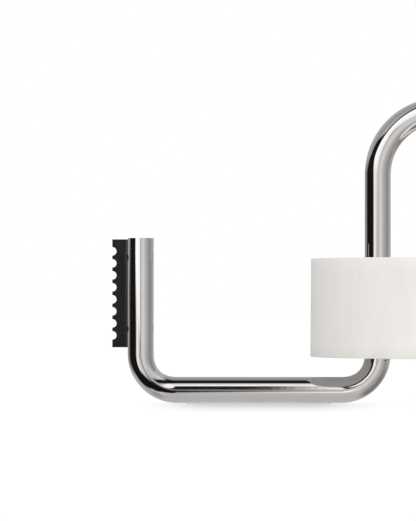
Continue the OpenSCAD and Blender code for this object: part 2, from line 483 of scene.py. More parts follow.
def tubePath():
    bend = tube["bendRadius"]
    path = [Vector((postX, 0, postTop)), Vector((postX, 0, bendZ))]
    path += arcPoints((postX + bend, 0, bendZ), (-1, 0, 0), (0, 0, -1), bend, 90)
    path.append(Vector((-filletX, 0, rodZ)))
    path += arcPoints((-filletX, 0, bendZ), (0, 0, -1), (1, 0, 0), bend, 90)
    path.append(Vector((-tube["legX"], 0, archZ)))
    path += arcPoints((0, 0, archZ), (-1, 0, 0), (0, 0, 1), tube["legX"], 180)
    path.append(Vector((tube["legX"], 0, bendZ)))
    path += arcPoints((filletX, 0, bendZ), (-1, 0, 0), (0, 0, -1), bend, 90)
    path.append(Vector((loopX, 0, rodZ)))
    path += arcPoints((loopX, -bend, rodZ), (0, 1, 0), (1, 0, 0), bend, 90)
    path.append(Vector((sideX, turnY, rodZ)))
    path += arcPoints((turnX, turnY, rodZ), (-1, 0, 0), (0, -1, 0), bend, 180)
    path.append(Vector((barX, tubeHigh.y, rodZ)))
    return path


def bendPlaces():
    # centre, unit vector to the start, unit vector ahead, degrees
    bend = tube["bendRadius"]
    return [
        (Vector((postX + bend, 0, bendZ)), Vector((-1, 0, 0)), Vector((0, 0, -1)), 90),
        (Vector((-filletX, 0, bendZ)), Vector((0, 0, -1)), Vector((1, 0, 0)), 90),
        (Vector((filletX, 0, bendZ)), Vector((-1, 0, 0)), Vector((0, 0, -1)), 90),
        (Vector((loopX, -bend, rodZ)), Vector((0, 1, 0)), Vector((1, 0, 0)), 90),
        (Vector((turnX, turnY, rodZ)), Vector((-1, 0, 0)), Vector((0, -1, 0)), 180),
    ]


def flattenBends(mesh):
    # a bent tube loses some of its roundness on the inside of the bend
    bend = tube["bendRadius"]
    for centre, start, ahead, degrees in bendPlaces():
        side = start.cross(ahead)
        for vertex in mesh.vertices:
            way = vertex.co - centre
            along, across = way.dot(start), way.dot(ahead)
            reach = math.hypot(along, across)
            near = tube["radius"] * 1.01
            if abs(way.dot(side)) > near or reach >= bend or reach < bend - near:
                continue
            share = math.degrees(math.atan2(across, along)) / degrees
            if 0 < share < 1:
                fall = tube["flattened"] * math.sin(math.pi * share) ** 2
                vertex.co += (start * along + ahead * across) * ((bend - reach) * fall / reach)


def sweepTree():
    tree, groupIn, groupOut = newTree("tubeSweep", [
        ("Tube radius", "NodeSocketFloat"),
        ("Ring points", "NodeSocketInt"),
        ("Material", "NodeSocketMaterial"),
    ])
    curve = tree.nodes.new("GeometryNodeMeshToCurve")
    circle = tree.nodes.new("GeometryNodeCurvePrimitiveCircle")
    sweep = tree.nodes.new("GeometryNodeCurveToMesh")
    smooth = tree.nodes.new("GeometryNodeSetShadeSmooth")
    tree.links.new(groupIn.outputs["Geometry"], curve.inputs["Mesh"])
    tree.links.new(groupIn.outputs["Tube radius"], circle.inputs["Radius"])
    tree.links.new(groupIn.outputs["Ring points"], circle.inputs["Resolution"])
    tree.links.new(curve.outputs["Curve"], sweep.inputs["Curve"])
    tree.links.new(circle.outputs["Curve"], sweep.inputs["Profile Curve"])
    tree.links.new(sweep.outputs["Mesh"], smooth.inputs["Geometry"])
    endTree(tree, smooth.outputs["Geometry"], groupIn, groupOut)
    return tree


def acrossPost(height):
    # +Z of the piece runs out of the post towards the roll
    return Matrix.Translation((postX, 0, height)) @ Matrix.Rotation(math.radians(90), 4, "Y")


def postCutters():
    # round holes for the rail's bosses, and countersunk holes for the screws
    headTop = tube["radius"] - screw["headSink"]
    sides = tube["cutterSides"]
    meshes = []
    for height in bossHeights:
        boss = rail["bossRadius"] + screw["gap"]
        shank = screw["shankRadius"] + screw["gap"]
        head = screw["headRadius"] + screw["gap"]
        meshes.append(lathe("cutBoss", [
            (0, -0.012), (boss, -0.012), (boss, -0.001), (0, -0.001),
        ], sides, acrossPost(height)))
        meshes.append(lathe("cutScrew", [
            (0, 0.001), (shank, 0.001), (shank, headTop - screw["headHeight"]),
            (head, headTop), (head, 0.012), (0, 0.012),
        ], sides, acrossPost(height)))
    bm = bmesh.new()
    for mesh in meshes:
        bm.from_mesh(mesh)
        bpy.data.meshes.remove(mesh)
    return linkObject("postCutters", meshFromBmesh("postCutters", bm))


def trueNormals(mesh):
    # the straight post keeps the normals of a true cylinder round its cut holes
    smoothByAngle(mesh, 32)
    normals = [Vector(n.vector) for n in mesh.corner_normals]
    for face in mesh.polygons:
        spots = [mesh.vertices[v].co for v in face.vertices]
        if min(p.z for p in spots) < bendZ - 1e-6 or max(p.x for p in spots) > postX + 0.01:
            continue
        if any(abs(math.hypot(p.x - postX, p.y) - tube["radius"]) > 2e-5 for p in spots):
            continue
        for corner in face.loop_indices:
            p = mesh.vertices[mesh.loops[corner].vertex_index].co
            normals[corner] = Vector((p.x - postX, p.y, 0)).normalized()
    mesh.normals_split_custom_set(normals)


def makeTube():
    path = tubePath()
    line = bpy.data.meshes.new("tubeLine")
    line.from_pydata(path, [(i, i + 1) for i in range(len(path) - 1)], [])
    obj = linkObject("bent_tube", line)
    useTree(obj, sweepTree(), {
        "Tube radius": tube["radius"],
        "Ring points": tube["ringPoints"],
        "Material": chrome,
    })
    bm = bmesh.new()
    bm.from_mesh(obj.data)
    bmesh.ops.recalc_face_normals(bm, faces=bm.faces)
    outward = 0.0
    for face in bm.faces:
        middle = face.calc_center_median()
        if middle.z > bendZ and middle.x < postX + 2 * tube["radius"]:
            outward += face.normal.dot(middle - Vector((postX, 0, middle.z)))
    if outward < 0:
        bmesh.ops.reverse_faces(bm, faces=bm.faces)
    bm.to_mesh(obj.data)
    bm.free()
    flattenBends(obj.data)
    shell = obj.modifiers.new("wall", "SOLIDIFY")
    shell.thickness = tube["wall"]
    shell.offset = -1
    shell.use_even_offset = False
    bakeModifiers(obj)
    cutters = postCutters()
    cut = obj.modifiers.new("holes", "BOOLEAN")
    cut.operation = "DIFFERENCE"
    cut.solver = "EXACT"
    cut.object = cutters
    bakeModifiers(obj)
    bpy.data.objects.remove(cutters)
    edge = addBevel(obj, tube["edgeRound"], 3, 60)
    edge.harden_normals = False
    bakeModifiers(obj)
    trueNormals(obj.data)
    finishPiece(obj, "frame", ["frame_tube"], chrome)
    return obj


makeTube()
print("stage: tube bent")


# plugs in the two cut ends

plug = {
    "gap": 0.03 * mm,
    "round": 0.3 * mm,
    "centreDip": 0.7 * mm,
    "dipDepth": 0.45 * mm,
    "segments": 96,
}


def makePlug(name, node, place, length):
    radius = tube["radius"] - tube["wall"] - plug["gap"]
    outline = [(0, -length), (radius - plug["round"], -length), (radius, -length + plug["round"])]
    for i in range(5):
        a = math.radians(90) * i / 4
        outline.append((radius - plug["round"] * (1 - math.cos(a)), -plug["round"] * (1 - math.sin(a))))
    outline += [(plug["centreDip"] * 1.25, 0), (plug["centreDip"], -0.08 * mm), (0, -plug["dipDepth"])]
    obj = linkObject(name, lathe(name, outline, plug["segments"], place))
    smoothByAngle(obj.data, 40)
    finishPiece(obj, "frame", [node], turnedSteel)


footLow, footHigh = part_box("foot_plug")
makePlug("end_plug_post", "post_plug", Matrix.Translation((postX, 0, postTop)), plugHigh.z - plugLow.z)
makePlug("end_plug_foot", "foot_plug",
         Matrix.Translation((barX, footHigh.y, rodZ)) @ Matrix.Rotation(math.radians(-90), 4, "X"),
         footHigh.y - footLow.y)
print("stage: plugs turned")


# the serrated blade

blade = {
    "notchCount": 8,
    "notchPitch": 5.87 * mm,
    "notchRadius": 2.08 * mm,
    "rootDepth": 6.52 * mm,
    "tabEnd": 2.9 * mm,
    "tabWidth": 3.0 * mm,
    "edgeRound": 0.12 * mm,
}


def notchTree():
    # a plate, less a row of round cutters along its height
    tree, groupIn, groupOut = newTree("notchRow", [
        ("Count", "NodeSocketInt"),
        ("Pitch", "NodeSocketFloat"),
        ("Radius", "NodeSocketFloat"),
        ("Depth", "NodeSocketFloat"),
        ("First notch", "NodeSocketVector"),
        ("Material", "NodeSocketMaterial"),
    ])
    step = tree.nodes.new("ShaderNodeCombineXYZ")
    row = tree.nodes.new("GeometryNodeMeshLine")
    row.mode = "OFFSET"
    cutter = tree.nodes.new("GeometryNodeMeshCylinder")
    cutter.inputs["Vertices"].default_value = 64
    turn = tree.nodes.new("GeometryNodeTransform")
    turn.inputs["Rotation"].default_value = (math.radians(90), 0, 0)
    spread = tree.nodes.new("GeometryNodeInstanceOnPoints")
    solid = tree.nodes.new("GeometryNodeRealizeInstances")
    cut = tree.nodes.new("GeometryNodeMeshBoolean")
    cut.operation = "DIFFERENCE"
    cut.solver = "EXACT"
    tree.links.new(groupIn.outputs["Pitch"], step.inputs["Z"])
    tree.links.new(groupIn.outputs["Count"], row.inputs["Count"])
    tree.links.new(step.outputs["Vector"], row.inputs["Offset"])
    tree.links.new(groupIn.outputs["First notch"], row.inputs["Start Location"])
    tree.links.new(groupIn.outputs["Radius"], cutter.inputs["Radius"])
    tree.links.new(groupIn.outputs["Depth"], cutter.inputs["Depth"])
    tree.links.new(cutter.outputs["Mesh"], turn.inputs["Geometry"])
    tree.links.new(row.outputs["Mesh"], spread.inputs["Points"])
    tree.links.new(turn.outputs["Geometry"], spread.inputs["Instance"])
    tree.links.new(spread.outputs["Instances"], solid.inputs["Geometry"])
    tree.links.new(groupIn.outputs["Geometry"], cut.inputs["Mesh 1"])
    tree.links.new(solid.outputs["Geometry"], cut.inputs["Mesh 2"])
    endTree(tree, cut.outputs["Mesh"], groupIn, groupOut)
    return tree


def plateMesh(name, outline, halfThick):
    # an outline of (x, z) points, given a thickness along Y
    bm = bmesh.new()
    near = [bm.verts.new((x, -halfThick, z)) for x, z in outline]
    far = [bm.verts.new((x, halfThick, z)) for x, z in outline]
    bm.faces.new(near)
    bm.faces.new(list(reversed(far)))
    for i in range(len(outline)):
        j = (i + 1) % len(outline)
        bm.faces.new((near[i], far[i], far[j], near[j]))
    return meshFromBmesh(name, bm)


def makeBlade():
    root = postX - blade["rootDepth"]
    tabX = postX - blade["tabEnd"]
    half = blade["tabWidth"] / 2
    low, high = bossHeights
    outline = [
        (bladeLow.x, bladeLow.z), (root, bladeLow.z),
        (root, low - half), (tabX, low - half), (tabX, low + half), (root, low + half),
        (root, high - half), (tabX, high - half), (tabX, high + half), (root, high + half),
        (root, bladeHigh.z), (bladeLow.x, bladeHigh.z),
    ]
    thick = bladeHigh.y - bladeLow.y
    obj = linkObject("serrated_blade", plateMesh("serrated_blade", outline, thick / 2))
    span = (blade["notchCount"] - 1) * blade["notchPitch"]
    middle = (bladeLow.z + bladeHigh.z) / 2
    useTree(obj, notchTree(), {
        "Count": blade["notchCount"],
        "Pitch": blade["notchPitch"],
        "Radius": blade["notchRadius"],
        "Depth": thick * 3,
        "First notch": (bladeLow.x, 0, middle - span / 2),
        "Material": bladeBlack,
    })
    addBevel(obj, blade["edgeRound"], 2, 25)
    bakeModifiers(obj)
    smoothByAngle(obj.data, 35)
    finishPiece(obj, "frame", ["blade"], bladeBlack)
    obj.visible_glossy = False  # the tube's edge beside it stays clean


makeBlade()
print("stage: blade cut")


# the rail that holds the blade to the post

def makeRail():
    railLow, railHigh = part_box("blade_rail")
    half = rail["halfThick"]
    slot = (bladeHigh.y - bladeLow.y) / 2 + rail["fitGap"]
    outer = postX - tube["radius"] - rail["proud"]
    floor = postX - blade["rootDepth"] + rail["fitGap"]
    seat = tube["radius"] + rail["fitGap"]
    saddle = []
    for i in range(rail["saddleSteps"] + 1):
        y = half - 2 * half * i / rail["saddleSteps"]
        saddle.append((postX - math.sqrt(seat ** 2 - y ** 2), y))
    outline = [(outer, -half), (outer, -slot), (floor, -slot), (floor, slot), (outer, slot), (outer, half)]
    outline += saddle
    bm = bmesh.new()
    low = [bm.verts.new((x, y, railLow.z)) for x, y in outline]
    high = [bm.verts.new((x, y, railHigh.z)) for x, y in outline]
    bm.faces.new(low)
    bm.faces.new(list(reversed(high)))
    for i in range(len(outline)):
        j = (i + 1) % len(outline)
        bm.faces.new((low[i], high[i], high[j], low[j]))
    obj = linkObject("blade_holder", meshFromBmesh("blade_holder", bm))
    addBevel(obj, rail["edgeRound"], 3, 50)
    bakeModifiers(obj)
    bore = screw["shankRadius"] + screw["gap"] / 2
    outside = rail["bossRadius"]
    top, foot, chamfer = rail["bossTop"], rail["bossFoot"], rail["bossChamfer"]
    profile = [(bore, top), (outside - chamfer, top), (outside, top - chamfer), (outside, foot), (bore, foot)]
    bosses = [lathe("boss", profile, screw["sides"], acrossPost(height)) for height in bossHeights]
    bm = bmesh.new()
    bm.from_mesh(obj.data)
    for mesh in bosses:
        bm.from_mesh(mesh)
        bpy.data.meshes.remove(mesh)
    bm.to_mesh(obj.data)
    bm.free()
    smoothByAngle(obj.data, 35)
    finishPiece(obj, "frame", ["blade_rail"], railBlack)
    obj.visible_glossy = False


makeRail()
print("stage: rail seated")


# countersunk screws, one shape placed at each boss

def headRim(angle):
    # where the countersunk cone or the straight rim meets the round of the tube, as (radius, height)
    headTop = tube["radius"] - screw["headSink"]
    slope = (screw["headRadius"] - screw["shankRadius"]) / screw["headHeight"]
    radius = screw["headRadius"]
    for _ in range(6):
        height = math.sqrt(tube["radius"] ** 2 - (radius * math.sin(angle)) ** 2)
        cone = screw["shankRadius"] + (height - headTop + screw["headHeight"]) * slope
        radius = min(screw["headRadius"], cone)
    return radius, height


def screwMesh():
    # the head is dressed flush, so its face follows the round of the tube
    headTop = tube["radius"] - screw["headSink"]
    headLow = headTop - screw["headHeight"]
    tip = -2.1 * mm
    sides = screw["sides"]
    bm = bmesh.new()
    rings = []

    def ring(radius, height):
        rings.append([bm.verts.new((radius * math.cos(a), radius * math.sin(a), height)) for a in angles])

    def faceRing(share, hexagon=0.0, sink=0.0, flat=None):
        # share of the rim's radius, or a hexagon of that corner radius
        verts = []
        for a in angles:
            radius = headRim(a)[0] * share
            if hexagon:
                sector = a % (math.pi / 3) - math.pi / 6
                radius = hexagon * math.cos(math.pi / 6) / math.cos(sector)
            y = radius * math.sin(a)
            height = math.sqrt(tube["radius"] ** 2 - y ** 2) - sink if flat is None else flat
            verts.append(bm.verts.new((radius * math.cos(a), y, height)))
        rings.append(verts)

    angles = [2 * math.pi * i / sides for i in range(sides)]
    ring(screw["shankRadius"] - 0.3 * mm, tip)
    ring(screw["shankRadius"], tip + 0.3 * mm)
    ring(screw["shankRadius"], headLow)
    cone = []
    for a in angles:
        radius, height = headRim(a)
        low = min(headTop, height) - 0.1 * mm
        reach = radius - (0.084 * mm if height < headTop else 0.0)
        cone.append(bm.verts.new((reach * math.cos(a), reach * math.sin(a), low)))
    rings.append(cone)
    faceRing(0.995, sink=0.03 * mm)
    faceRing(0.975)
    faceRing(0.7)
    faceRing(0, hexagon=screw["socketRadius"] + 0.1 * mm, sink=0.005 * mm)
    faceRing(0, hexagon=screw["socketRadius"], sink=0.08 * mm)
    faceRing(0, hexagon=screw["socketRadius"], flat=headTop - screw["socketDepth"])
    for lower, upper in zip(rings, rings[1:]):
        for i in range(sides):
            j = (i + 1) % sides
            bm.faces.new((lower[i], lower[j], upper[j], upper[i]))
    bm.faces.new(rings[-1])
    bm.faces.new(list(reversed(rings[0])))
    return meshFromBmesh("screwShape", bm)


def placeTree():
    # stands one shape at every point of the input mesh, turned out of the post
    tree, groupIn, groupOut = newTree("screwPlaces", [
        ("Shape", "NodeSocketObject"),
        ("Turn", "NodeSocketVector"),
        ("Material", "NodeSocketMaterial"),
    ])
    shape = tree.nodes.new("GeometryNodeObjectInfo")
    spread = tree.nodes.new("GeometryNodeInstanceOnPoints")
    tree.links.new(groupIn.outputs["Shape"], shape.inputs["Object"])
    tree.links.new(groupIn.outputs["Geometry"], spread.inputs["Points"])
    tree.links.new(shape.outputs["Geometry"], spread.inputs["Instance"])
    tree.links.new(groupIn.outputs["Turn"], spread.inputs["Rotation"])
    endTree(tree, spread.outputs["Instances"], groupIn, groupOut)
    return tree


def makeScrews():
    shape = linkObject("screwShape", screwMesh())
    spots = bpy.data.meshes.new("screwSpots")
    spots.from_pydata([(postX, 0, height) for height in bossHeights], [], [])
    obj = linkObject("holder_screws", spots)
    useTree(obj, placeTree(), {
        "Shape": shape,
        "Turn": (0, math.radians(90), 0),
        "Material": screwSteel,
    })
    bpy.data.objects.remove(shape)
    smoothByAngle(obj.data, 30)
    finishPiece(obj, "frame", ["rail_screws"], screwSteel)


makeScrews()
nodes["blade_pins"].data.materials.clear()
nodes["blade_pins"].data.materials.append(turnedSteel)
print("stage: screws driven")


# clear grips under the tube

grip = {
    "width": 5.0 * mm,
    "gap": 0.03 * mm,
    "edgeRound": 0.12 * mm,
    "curvePoints": 9,
}


def makeGrip(name, node, alongY):
    low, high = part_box(node)
    middle = (low + high) / 2
    length = (high.y - low.y) if alongY else (high.x - low.x)
    half = grip["width"] / 2
    seat = tube["radius"] + grip["gap"]
    outline = [(-half, 0), (half, 0)]
    for i in range(grip["curvePoints"]):
        y = half - grip["width"] * i / (grip["curvePoints"] - 1)
        outline.append((y, rodZ - math.sqrt(seat ** 2 - y ** 2)))
    bm = bmesh.new()
    ends = []
    for x in (-length / 2, length / 2):
        ends.append([bm.verts.new((x, y, z)) for y, z in outline])
    bm.faces.new(ends[0])
    bm.faces.new(list(reversed(ends[1])))
    for i in range(len(outline)):
        j = (i + 1) % len(outline)
        bm.faces.new((ends[0][i], ends[1][i], ends[1][j], ends[0][j]))
    place = Matrix.Translation((middle.x, middle.y, 0))
    if alongY:
        place = place @ Matrix.Rotation(math.radians(90), 4, "Z")
    bmesh.ops.transform(bm, matrix=place, verts=bm.verts)
    obj = linkObject(name, meshFromBmesh(name, bm))
    addBevel(obj, grip["edgeRound"], 2, 50)
    bakeModifiers(obj)
    smoothByAngle(obj.data, 35)
    finishPiece(obj, "frame", [node], clearGrip)


makeGrip("grip_rod", "rod_grip", False)
makeGrip("grip_bar", "foot_grip", True)
makeGrip("grip_loop", "loop_grip", True)
print("stage: grips laid")


# the tape roll

roll = {
    "coreInner": 38.0 * mm,
    "runningGap": 0.05 * mm,
    "layerPitch": 0.6 * mm,
    "layerStep": 0.05 * mm,
    "rimRound": 0.22 * mm,
    "segments": 256,
    "flatness": 0.03 * mm,
    "taper": 0.35 * mm,
    "seed": 7,
}
coreLow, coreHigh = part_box("tape_core")
windLow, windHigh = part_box("tape_winding")
windOuter = -windLow.y
coreOuter = tube["legX"] + tube["radius"] + 0.15 * mm + 4.0 * mm
windInner = coreOuter + roll["runningGap"]


def sideProfile(inner, outer, height, rng, sign):
    # wound edges: shallow steps from layer to layer
    points = []
    count = round((outer - inner) / roll["layerPitch"])
    for i in range(count):
        r0 = inner + (outer - inner) * i / count
        r1 = inner + (outer - inner) * (i + 1) / count
        sink = rng.uniform(0.2, 1.0) * roll["layerStep"]
        points.append((r0 + (r1 - r0) * 0.12, height - sign * sink))
        points.append((r0 + (r1 - r0) * 0.88, height - sign * sink * 0.8))
    return points


def makeWinding():
    rng = random.Random(roll["seed"])
    rim = roll["rimRound"]
    low, high = windLow.z, windHigh.z
    bottom = sideProfile(windInner + rim, windOuter - rim, low, rng, -1)
    top = sideProfile(windInner + rim, windOuter - rim, high, rng, 1)
    outline = [(windInner, low + rim), (windInner + rim * 0.3, low + rim * 0.3)]
    outline += bottom
    outline += [(windOuter - rim * 0.3, low + rim * 0.3), (windOuter, low + rim)]
    for i in range(1, 8):
        outline.append((windOuter, low + rim + (high - low - 2 * rim) * i / 8))
    outline += [(windOuter, high - rim), (windOuter - rim * 0.3, high - rim * 0.3)]
    outline += list(reversed(top))
    outline += [(windInner + rim * 0.3, high - rim * 0.3), (windInner, high - rim)]
    mesh = lathe("wound_tape", outline, roll["segments"], Matrix.Identity(4))
    phases = [rng.uniform(0, 2 * math.pi) for _ in range(4)]
    for vertex in mesh.vertices:
        x, y, z = vertex.co
        r = math.hypot(x, y)
        share = max(0.0, (r - windInner) / (windOuter - windInner))
        a = math.atan2(y, x)
        swell = sum(math.sin(k * a + p) for k, p in zip((3, 7, 13, 22), phases)) / 4
        lean = roll["taper"] * (z - low) / (high - low)
        grown = r + share * (roll["flatness"] * (swell - 1) - lean)
        vertex.co = (x * grown / r, y * grown / r, z)
    smoothByAngle(mesh, 50)
    obj = linkObject("wound_tape", mesh)
    finishPiece(obj, "roll", ["tape_winding"], tapeWhite)


def makeCore():
    inner, outer = roll["coreInner"], coreOuter
    low, high = coreLow.z, coreHigh.z
    rim = 0.35 * mm
    outline = []
    for cx, cz, first in ((inner + rim, low + rim, 180), (outer - rim, low + rim, 270),
                          (outer - rim, high - rim, 0), (inner + rim, high - rim, 90)):
        for i in range(4):
            a = math.radians(first + 30 * i)
            outline.append((cx + rim * math.cos(a), cz + rim * math.sin(a)))
    mesh = lathe("card_core", outline, roll["segments"], Matrix.Identity(4))
    smoothByAngle(mesh, 50)
    obj = linkObject("card_core", mesh)
    finishPiece(obj, "core", ["tape_core"], coreCard)


freeEnd = {
    "degrees": 58,
    "length": 11.0 * mm,
    "gap": 0.03 * mm,
    "middle": 0.2 * mm,
    "spread": 0.18 * mm,
    "foldReach": 0.19 * mm,
    "steps": 16,
    "foldSteps": 6,
}


def makeTapeEnd():
    # the free end, folded back on itself: two layers that part slightly at the fold
    low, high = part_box("tape_end")
    angle = math.radians(freeEnd["degrees"])
    out = Vector((math.cos(angle), math.sin(angle), 0))
    ahead = Vector((-math.sin(angle), math.cos(angle), 0))
    start = windOuter + freeEnd["gap"]
    length, steps = freeEnd["length"], freeEnd["steps"]
    middle, spread = freeEnd["middle"], freeEnd["spread"]
    section = []
    for i in range(steps + 1):
        section.append((middle - spread, length * i / steps))
    for i in range(1, freeEnd["foldSteps"]):
        a = math.pi * i / freeEnd["foldSteps"]
        run = length - middle + freeEnd["foldReach"] * math.sin(a)
        section.append((middle - spread * math.cos(a), run))
    for i in range(steps + 1):
        section.append((middle + spread, (length - middle) * (1 - i / steps)))
    bm = bmesh.new()
    rows = []
    for z in (low.z, high.z):
        up = Vector((0, 0, z))
        rows.append([bm.verts.new(out * (start + depth) + ahead * run + up) for depth, run in section])
    bm.faces.new(rows[0])
    bm.faces.new(list(reversed(rows[1])))
    for i in range(len(section)):
        j = (i + 1) % len(section)
        bm.faces.new((rows[0][i], rows[1][i], rows[1][j], rows[0][j]))
    obj = linkObject("free_end", meshFromBmesh("free_end", bm))
    smoothByAngle(obj.data, 40)
    finishPiece(obj, "roll", ["tape_end"], tapeWhite)


makeWinding()
makeCore()
makeTapeEnd()
print("stage: tape wound")


# studio

studio = {
    "floorHalf": 6.0,
    "floorTone": 0.04,
    "floorGlow": 0.97,
    # the floor's glow dims under the rod in a painted shadow, shaped by the pool keys below
    "paintedShadowGlow": 0.62,
    "poolShort": 36 * mm,
    "poolEnds": 3.5,
    "poolBehind": 6.0,
    "poolSpread": 5.0,
    "leftLight": 0.6,
    "warm": (1.0, 0.96, 0.93),
    "plain": (1.0, 0.998, 0.99),
}
# the soft light's brightness from left to right, then from below to above
softAcross = [(0.0, studio["leftLight"]), (0.35, 0.86), (0.58, 1.05), (0.78, 1.02), (1.0, 0.74)]
softUpwards = [(0.0, 0.3), (0.35, 0.7), (0.47, 2.1), (0.62, 2.0), (0.85, 1.15), (1.0, 0.9)]
# brightness met by a mirror, by its angle from the camera's side: towards the right
levelCards = [
    (-180, 0.45), (-140, 0.36), (-128, 0.31), (-116, 0.15), (-106, 0.03), (-60, 0.01), (-47, 0.04),
    (-41, 0.2), (-35, 0.95), (-27, 1.1), (-19, 0.8), (-11, 0.55), (-3, 0.5), (6, 0.66), (14, 0.75),
    (26, 0.76), (38, 0.62), (52, 0.48), (64, 0.42), (78, 0.36), (90, 0.3), (104, 0.4), (130, 0.46),
    (150, 0.5), (180, 0.45),
]
# upwards
uprightCards = [
    (-180, 0.5), (-140, 0.55), (-60, 0.54), (-36, 0.58), (-27, 0.62), (-22, 1.05), (-10, 1.15),
    (20, 1.15), (44, 1.1), (52, 0.85), (60, 0.42), (67, 0.12), (73, 0.02), (88, 0.02), (95, 0.15),
    (104, 0.3), (120, 0.39), (150, 0.45), (180, 0.5),
]
# up and to the left, which the arch looks at
risingCards = [
    (-180, 0.5), (-150, 0.45), (-130, 0.3), (-105, 0.22), (-88, 0.22), (-72, 0.38), (-54, 0.45),
    (-40, 0.58), (-28, 0.76), (-8, 0.7), (2, 0.8), (12, 1.05), (32, 1.25), (46, 1.15), (56, 0.9),
    (64, 0.5), (76, 0.4), (92, 0.36), (106, 0.36), (120, 0.47), (180, 0.5),
]
# up and to the right, which the first bend looks at
fallingCards = [
    (-180, 0.5), (-130, 0.55), (-104, 0.44), (-82, 0.42), (-70, 0.6), (-56, 0.7), (0, 0.75), (10, 0.6),
    (32, 0.62), (52, 0.66), (66, 0.6), (84, 0.52), (120, 0.5), (180, 0.5),
]
# shares of rising, upright and falling cards by the mirror's turn about the view, and level cards take
# the rest
turnShares = [
    (-180, (0, 0, 0)), (-166, (0, 0, 0)), (-150, (0, 0, 1)), (-125, (0, 0, 1)), (-105, (0, 1, 0)),
    (-72, (0, 1, 0)), (-58, (1, 0, 0)), (-30, (1, 0, 0)), (-15, (0, 0, 0)), (15, (0, 0, 0)),
    (30, (0, 0, 1)), (58, (0, 0, 1)), (72, (0, 1, 0)), (95, (0, 1, 0)), (101, (1, 0, 0)),
    (163, (1, 0, 0)), (176, (0, 0, 0)), (180, (0, 0, 0)),
]
# dark flags on the left and overhead, as tapered strokes from end to end: degrees right of the camera's
# side, degrees up, half width
flagStrokes = [
    ((-75, 2, 31), (-70, -19, 30)),
    ((-70, -19, 30), (-58, -33, 28)),
    ((-58, -33, 28), (-33, -34, 17)),
    ((-33, -34, 17), (-10, -22, 10)),
    ((-10, -22, 10), (-2, -8, 5)),
    ((-75, 2, 31), (-66, 22, 21)),
    ((-66, 22, 21), (-40, 32, 6)),
    ((-40, 32, 6), (-24, 54, 5)),
    ((-24, 54, 5), (-9, 77, 6)),
    ((-9, 77, 6), (0, 80, 11)),
    ((8, 9, 1), (18, 27, 5)),
    ((18, 27, 5), (22, 50, 9)),
    ((22, 50, 9), (14, 70, 12)),
    ((14, 70, 12), (0, 79, 12)),
]
# the dark stand behind the camera
stand = {
    "sides": (-1.6, 1.7),
    "foot": -3.0,
    "head": 35.0,
    "gap": (1.6, 4.6),
    "softness": 1.2,
    "gapSoftness": 1.0,
    "gapLight": 0.4,
    "strokeSoftness": 4.0,
}


def angleRamp(tree, angle, stops):
    turn = plus(tree, mathNode(tree, "DIVIDE", angle, 2 * math.pi), 0.5)
    return ramp(tree, turn, [((a + 180) / 360, e) for a, e in stops])


def tiltedAngle(tree, x, z, towards, degrees):
    # how far a direction leans, from the camera's side, along a line turned by degrees about the view
    a = math.radians(degrees)
    along = plus(tree, times(tree, x, math.cos(a)), times(tree, z, math.sin(a)))
    return mathNode(tree, "ARCTAN2", along, towards)


def mixColour(tree, share, first, second, blend="MIX"):
    mix = tree.nodes.new("ShaderNodeMix")
    mix.data_type = "RGBA"
    mix.blend_type = blend
    if isinstance(share, (int, float)):
        mix.inputs["Factor"].default_value = share
    else:
        tree.links.new(share, mix.inputs["Factor"])
    tree.links.new(first, mix.inputs["A"])
    tree.links.new(second, mix.inputs["B"])
    return mix.outputs["Result"]


def strokeShade(tree, right, up, stroke, softness):
    # 1 inside a tapered stroke and 0 outside, with a soft border
    (x0, z0, r0), (x1, z1, r1) = stroke
    length = math.hypot(x1 - x0, z1 - z0)
    ax, az = (x1 - x0) / length, (z1 - z0) / length
    dx = minus(tree, right, x0)
    dz = minus(tree, up, z0)
    along = plus(tree, times(tree, dx, ax), times(tree, dz, az))
    along = clamped(tree, along, 0.0, length)
    offX = minus(tree, dx, times(tree, along, ax))
    offZ = minus(tree, dz, times(tree, along, az))
    away = rootOfSquares(tree, offX, offZ)
    half = plus(tree, times(tree, along, (r1 - r0) / length), r0)
    inside = mathNode(tree, "DIVIDE", minus(tree, half, away), softness)
    return clamped(tree, plus(tree, inside, 0.5), 0.0, 1.0)


def between(tree, value, low, high, softness):
    rise = mathNode(tree, "DIVIDE", minus(tree, value, low), softness)
    fall = mathNode(tree, "DIVIDE", minus(tree, high, value), softness)
    both = plus(tree, mathNode(tree, "MINIMUM", rise, fall), 0.5)
    return clamped(tree, both, 0.0, 1.0)


def darkShare(tree, x, z, towards):
    # directions spread flat by their angle from the camera's side
    sideRadius = rootOfSquares(tree, x, z)
    lean = times(tree, mathNode(tree, "ARCTAN2", sideRadius, towards), 180 / math.pi)
    spread = mathNode(tree, "DIVIDE", lean, mathNode(tree, "MAXIMUM", sideRadius, 0.0001))
    right = times(tree, x, spread)
    up = times(tree, z, spread)
    width = between(tree, right, *stand["sides"], stand["softness"])
    height = between(tree, up, stand["foot"], stand["head"], stand["softness"] * 3)
    dark = times(tree, width, height)
    gap = between(tree, up, *stand["gap"], stand["gapSoftness"])
    dark = times(tree, dark, minus(tree, 1.0, times(tree, gap, stand["gapLight"])))
    for stroke in flagStrokes:
        shade = strokeShade(tree, right, up, stroke, stand["strokeSoftness"])
        dark = mathNode(tree, "MAXIMUM", dark, shade)
    return dark


